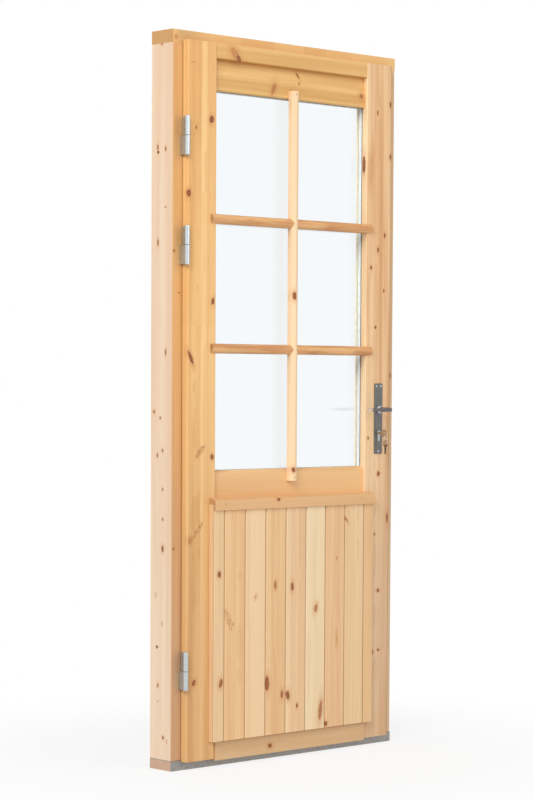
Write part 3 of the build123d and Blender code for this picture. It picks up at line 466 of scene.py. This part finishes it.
dress(["lock_stile"], pine(
    "stile_pine_lock", "Z", ("ffdeae", "d9a16c", "b67e48"), 2.2,
    [front(361, 828, 6, 8), front(325, 603, 3, 6), front(346, 644, 3, 4), front(363, 472, 6, 6),
     front(340, 285, 4, 6), front(366, 290, 5, 4), front(314, 220, 3, 3), front(347, 1916, 3, 7),
     front(381, 1550, 4, 8), front(353, 1505, 4, 8), front(323, 1451, 4, 6), front(379, 1383, 3, 5),
     front(344, 1272, 4, 5), front(316, 937, 3, 5), front(400, 693, 4, 16),
     front(402, 1945, 4, 9, 0, 0.95), front(403, 1788, 4, 8), reveal_mark,
     front(319, 1748, 8, 46, 3, 0.14)],
    # The palest strip, on the reveal's side face, is a painted highlight where that face looks towards the
    # light; the other strips are lamellas
    strips=[(290, 0.0), (304, 0.56), (360, 0.72), (400, 0.6), (420, 0.5)],
    pith=(350.0, 60.0), fade=lock_fade, streak=0.95, shade_lines=[(0, 399, 407, 412, gap_shade_share)],
))
# The top rail's soft strips paint shade across its moulded face, mixed with its own tone: darkest just
# under the band, lighter in the middle, darker again lower down
dress(["top_rail"], pine(
    "rail_pine_top", "X", ("f6c983", "cc944e", "a3692c"), 4.4,
    [front(-232, 2036, 12, 24, -44, 0.5), front(-219, 2025, 7, 12, -44), front(26, 2000, 4, 12, -35, 0.9),
     front(29, 1976, 3, 4), front(-74, 1953, 9, 21, 24, 0.58), front(287, 1962, 9, 9, 0, 0.64)],
    strips=[(1920, 0.5), (1931, 0.48), (1943, 0.82), (1958, 0.6), (1974, 0.26), (1990, 0.36), (2006, 0.7),
            (2017, 0.98), (2021, 0.5), (2048, 0.62), (2062, 0.5), (2070, 0.5)],
    pith=(1930.0, 40.0), lines=0.45, streak=0.8, soft=True,
))
dress(["glazing_beads"], pine(
    "bead_pine", "Z", ("fde9c6", "f5d8ab", "cfa26c"), 15.1, pith=(0.0, 300.0), ring=2.4,
))
dress(["mid_rail", "panel_beads"], pine(
    "rail_pine_mid", "X", ("f0c289", "e2ad74", "ba8049"), 6.6, pith=(700.0, 60.0),
))
dress(["bottom_rail"], pine(
    "rail_pine_bottom", "X", ("deb98a", "cda274", "a07246"), 8.3,
    [front(-88, 42, 9, 7, face=RAIL_FOOT_FACE)], pith=(-40.0, 20.0),
))
dress(["drip_cap"], pine(
    "cap_pine", "X", ("e7b884", "d7a470", "a9733f"), 9.7, [front(-78, 764, 6, 5, 0, 0.95, CAP_FACE)],
    pith=(700.0, -20.0), end_tones=("b07a47", "80522a"),
))
dress(["bar_vertical"], pine(
    "bar_pine_upright", "Z", ("fbdab0", "f2ca9c", "c8935c"), 11.2,
    [on_bar(-5, 1357, 6, 12, 0, 0.95), on_bar(-5, 848, 6, 8, 0, 0.8)], pith=(-60.0, 30.0),
))
dress(["bar_upper", "bar_lower"], pine(
    "bar_pine_level", "X", ("e9b57a", "cb8b54", "8f5629"), 12.8, pith=(1400.0, 200.0), ring=2.6,
    streak=0.95, weave=(70.0, 7.0), end_tones=("8a5e34", "5c3b1d"),
))

board_knots = {
    1: [on_board(-303, 556, 6, 9, 0, 0.95), on_board(-296, 244, 7, 13, 14, 0.75)],
    2: [on_board(-250, 410, 3, 4, 0, 0.4)],
    3: [on_board(-162, 484, 4, 7, 20, 0.3)],
    4: [on_board(-114, 228, 8, 22, 0, 0.78), on_board(-84, 514, 5, 12, 0, 0.65),
        on_board(-56, 192, 5, 13, 0, 0.75)],
    5: [on_board(-16, 506, 6, 13, 0, 0.75), on_board(-31, 187, 7, 14, -6, 0.9),
        on_board(6, 153, 4, 7, 0, 0.95)],
    6: [on_board(81, 437, 7, 13, 8, 0.6), on_board(102, 130, 8, 32, 8, 0.62)],
    7: [on_board(168, 581, 3, 5, 0, 0.5), on_board(168, 340, 3, 16, 0, 0.25),
        on_board(126, 88, 6, 7, 20, 0.95)],
    8: [on_board(205, 697, 3, 14, -40, 0.6)],
}
board_feathers = {2: [on_board(-268, 425, 9, 34, -22, 0.7)]}
board_tones = {
    1: ("eecca0", "e2b988", "b7824c"),
    2: ("f0c896", "e1ac75", "b57840"),
    3: ("f3d1a5", "e9be8e", "bc8650"),
    4: ("efca9a", "e3b17c", "b97e45"),
    5: ("f2d2a7", "e4b788", "ba804c"),
    6: ("f2dab2", "eac999", "c1925a"),
    7: ("ecc494", "e2b082", "b67d48"),
    8: ("ecc99b", "e0b786", "b6804c"),
    9: ("eac393", "deb17c", "b47c44"),
}
board_strips = {
    4: [(-140, 0.3), (-100, 0.72), (-66, 0.5), (-20, 0.5)],
    5: [(-60, 0.15), (-22, 0.55), (10, 0.7), (60, 0.5)],
}
board_pitch = 80.0
middle_board = 5
pith_spread = 26.0
pith_depths = (10.0, -20.0)
first_board_seed = 20.0
board_seed_step = 3.7
# Painted shade in the V-grooves between the boards
board_groove_shade = (1, -88.8, -86.4, -85.2, 0.5)
for number, tones in board_tones.items():
    pith_across = (number - middle_board) * board_pitch + (number % 3 - 1) * pith_spread
    dress([f"panel_board_{number}"], pine(
        f"board_pine_{number}", "Z", tones, first_board_seed + board_seed_step * number,
        board_knots.get(number, ()), board_feathers.get(number, ()), board_strips.get(number),
        pith=(pith_across, pith_depths[number % 2]), streak=0.6, ring=4.2, lines=0.7,
        shade_lines=[board_groove_shade],
    ))
dress(["inner_panel"], pine(
    "panel_pine", "Z", ("f2d7b0", "e4c096", "bb8855"), 41.0, pith=(0.0, -120.0), ring=5.0, streak=0.8,
))
dress(["threshold_core"], pine(
    "sill_oak", "X", ("dab89c", "c8a487", "987560"), 44.0, pith=(0.0, 60.0), ring=2.2,
    end_tones=("d3b096", "af8c74"),
))


# Metal, rubber and glass

# Changes per metre of the fine lines along each axis
PLAIN = (300.0, 300.0, 300.0)
UPRIGHT_LINES = (700.0, 700.0, 25.0)
STAINS = (90.0, 90.0, 90.0)
STAIN_STEP = (0.45, 0.75)
STAIN_DARK = 0.72
STAIN_FILL = 4.0
STAIN_ROUGH_STEP = (0.5, 0.8)
STAIN_ROUGH = 0.08
LINE_ROUGH = 0.1
METAL_BUMP = (0.05, 0.0002)
GRIT = (400.0, 400.0, 400.0)
RUBBER_ROUGH = 0.6
GRIT_ROUGH = 0.25
RUBBER_BUMP = (0.1, 0.0003)


def worked_metal(name, colour, rough, grain=PLAIN, metallic=1.0, spot=0.12, tints_and_highlights=()):
    """Plated or brushed metal with fine lines, small stains and a little unevenness.

    Each of tints_and_highlights is an axis, the colour there and the places between which it comes up:
    painted highlights on the lever, a darker lower part on the keys.
    """
    material, place, shader = finish(name, Metallic=metallic)
    lines = noise(stretch(place, grain), RICH_DETAIL, RICH_ROUGH)
    stain = noise(stretch(place, STAINS), RICH_DETAIL, RICH_ROUGH)
    tint = shade(colour)
    stained = tuple(c * STAIN_DARK for c in tint[:3]) + (1.0,)
    for axis, bright, start, full in tints_and_highlights:
        tint = mix(ease(split(place)[axis], start * MM, full * MM), tint, shade(bright))
    feed(
        shader, Base_Color=mix(ease(stain, *STAIN_STEP) * spot * STAIN_FILL, tint, stained),
        Roughness=rough + (lines - 0.5) * LINE_ROUGH + ease(stain, *STAIN_ROUGH_STEP) * STAIN_ROUGH,
        Normal=bumped(lines, *METAL_BUMP),
    )
    return material


hinge_halves = [
    f"hinge_{place}_{half}" for place in ("bottom", "middle", "top") for half in ("frame_half", "leaf_half")
]
dress(hinge_halves, worked_metal("zinc_hinge", "c3cacb", 0.32, UPRIGHT_LINES, metallic=0.85))
dress(["hinge_pins", "hinge_washers"], worked_metal("greased_steel", "4c4a44", 0.4))
dress(
    ["strike_screws", "hinge_frame_screws", "hinge_leaf_screws", "forend_screws", "plate_screws"],
    worked_metal("zinc_screw", "b9b9b3", 0.36),
)
dress(["outside_plate", "inside_plate"], worked_metal("dark_plate", "747370", 0.42, (900.0, 900.0, 12.0)))
# The lever's boss and its tip take lighter colours: painted highlights
dress(["outside_lever", "inside_knob", "spindle"], worked_metal(
    "satin_lever", "736c6c", 0.22, (20.0, 900.0, 900.0),
    tints_and_highlights=[(1, "c6c4ce", -112.0, -100.0), (0, "d9c3b6", 288.0, 277.0)],
))
dress(
    ["strike_plate", "lock_case", "latch_bolt", "deadbolt"],
    worked_metal("zinc_lock", "c9c9c6", 0.36, UPRIGHT_LINES),
)
dress(["cylinder_body", "cylinder_plug"], worked_metal("nickel_cylinder", "b3b4b1", 0.28))
dress(["key", "spare_key"], worked_metal(
    "key_brass", "c4a88e", 0.36, metallic=0.7, spot=0.25, tints_and_highlights=[(2, "64564a", 920.0, 914.0)],
))
dress(["key_ring"], worked_metal("ring_wire", "c9bfae", 0.24))
dress(["glass_spacer"], worked_metal("spacer_foil", "e4e5e0", 0.5, metallic=0.1))
dress(["threshold_cover"], worked_metal(
    "sill_sheet", "9b9893", 0.5, (14.0, 700.0, 700.0), metallic=0.8, spot=0.16,
))

rubber, place, shader = finish("seal_rubber")
grit = noise(stretch(place, GRIT), RICH_DETAIL)
feed(
    shader, Base_Color=mix(grit, shade("1b1b1c"), shade("2c2c2d")),
    Roughness=RUBBER_ROUGH + grit * GRIT_ROUGH, Normal=bumped(grit, *RUBBER_BUMP),
)
dress(["seal_left", "seal_right", "seal_head", "bottom_seal"], rubber)

# Glass lets the lamps' light through, so that the beads and the spacer behind it aren't left dark
glass, place, shader = finish(
    "window_glass", Roughness=0.0, IOR=1.45, Transmission_Weight=1.0, Base_Color=shade("fafcfd"),
)
lamp_ray = place.make("LightPath", out="Is Shadow Ray")
blend_shaders(glass, lamp_ray, shader, place.make("BsdfTransparent", None, {"Color": shade("f4f8f9")}))
dress(["glass_outer_pane", "glass_inner_pane"], glass)


# Nails, which are too small for the solids

NAIL_RADIUS = 0.0017
NAIL_DOME = 0.35
nail_steel = worked_metal("nail_steel", "7d6248", 0.5, metallic=0.6)


def nail(name, x, y, z):
    """A nail's shallow domed head, set into the face of a piece that looks outwards."""
    mesh = bpy.data.meshes.new(name)
    form = bmesh.new()
    bmesh.ops.create_uvsphere(form, u_segments=16, v_segments=8, radius=NAIL_RADIUS)
    bmesh.ops.scale(form, vec=(1.0, NAIL_DOME, 1.0), verts=form.verts)
    bmesh.ops.translate(form, vec=(x * MM, y * MM, z * MM), verts=form.verts)
    for face in form.faces:
        face.smooth = True
    form.to_mesh(mesh)
    form.free()
    piece = bpy.data.objects.new(name, mesh)
    bpy.context.scene.collection.objects.link(piece)
    mesh.materials.append(nail_steel)
    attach(piece, "leaf")


cap_nail_height = 757
for number, x in enumerate((-284, 265), start=1):
    nail(f"cap_nail_{number}", x, CAP_FACE, cap_nail_height)
upright_nail_x = -2
upright_nail_face = -82.9
for number, z in enumerate((826, 1941), start=1):
    nail(f"upright_nail_{number}", upright_nail_x, upright_nail_face, z)


# Studio

door_middle = (0.0, 0.0, 1.0)


def panel_light(name, place, width, power):
    """A square soft box that looks at the middle of the door."""
    light = bpy.data.lights.new(name, "AREA")
    light.shape = "RECTANGLE"
    light.size = width
    light.size_y = width
    light.energy = power
    lamp = bpy.data.objects.new(name, light)
    bpy.context.scene.collection.objects.link(lamp)
    lamp.location = place
    lamp.rotation_euler = (Vector(door_middle) - Vector(place)).to_track_quat("-Z", "Y").to_euler()


panel_light("key_light", (-9.0, -5.0, 8.0), 5.0, 840.0)
panel_light("front_light", (1.5, -7.0, 3.4), 4.0, 110.0)

# The world looks white and lights the door with less
ambient = 0.42
world = bpy.data.worlds.new("studio")
bpy.context.scene.world = world
world.use_nodes = True
backdrop = world.node_tree.nodes["Background"]
backdrop.inputs["Color"].default_value = WHITE
strength = seen_rays(Sock(world.node_tree)) * (1.0 - ambient) + ambient
world.node_tree.links.new(backdrop.inputs["Strength"], strength.output)

# The floor looks white too, but near the door it keeps part of the shadow
floor_reach = 30.0
shadow_near = 0.4
shadow_far = 1.5
white_near = 0.80
floor_mesh = bpy.data.meshes.new("studio_floor")
form = bmesh.new()
bmesh.ops.create_grid(form, x_segments=2, y_segments=2, size=floor_reach)
form.to_mesh(floor_mesh)
form.free()
floor = bpy.data.objects.new("studio_floor", floor_mesh)
bpy.context.scene.collection.objects.link(floor)
paper, place, shader = finish("floor_paper", Roughness=0.9, Base_Color=(0.9, 0.9, 0.9, 1.0))
white = place.make("Emission", None, {"Color": WHITE, "Strength": 1.0})
share = ease(length(place), shadow_near, shadow_far, white_near, 1.0)
blend_shaders(paper, seen_rays(place) * share, shader, white)
floor_mesh.materials.append(paper)

# The camera that was fitted to the frame's corners, in pixels of a picture 800 high, metres and degrees
picture_height = 800.0
focal_length = 2383.9
centre_shift = 97.5
sensor = 36.0
camera_data = bpy.data.cameras.new("camera")
camera = bpy.data.objects.new("camera", camera_data)
bpy.context.scene.collection.objects.link(camera)
bpy.context.scene.camera = camera
camera_data.sensor_width = sensor
camera_data.lens = sensor * focal_length / picture_height
camera_data.shift_y = centre_shift / picture_height
camera_data.clip_end = 100.0
camera.location = (-4.8256, -5.1369, 1.1115)
yaw, pitch, roll = (math.radians(a) for a in (42.99, -2.828, 0.297))
look = Euler((math.pi / 2 + pitch, 0.0, -yaw), "XYZ").to_matrix()
camera.rotation_euler = (look @ Matrix.Rotation(roll, 3, "Z")).to_euler()

bpy.context.scene.view_settings.view_transform = "Standard"
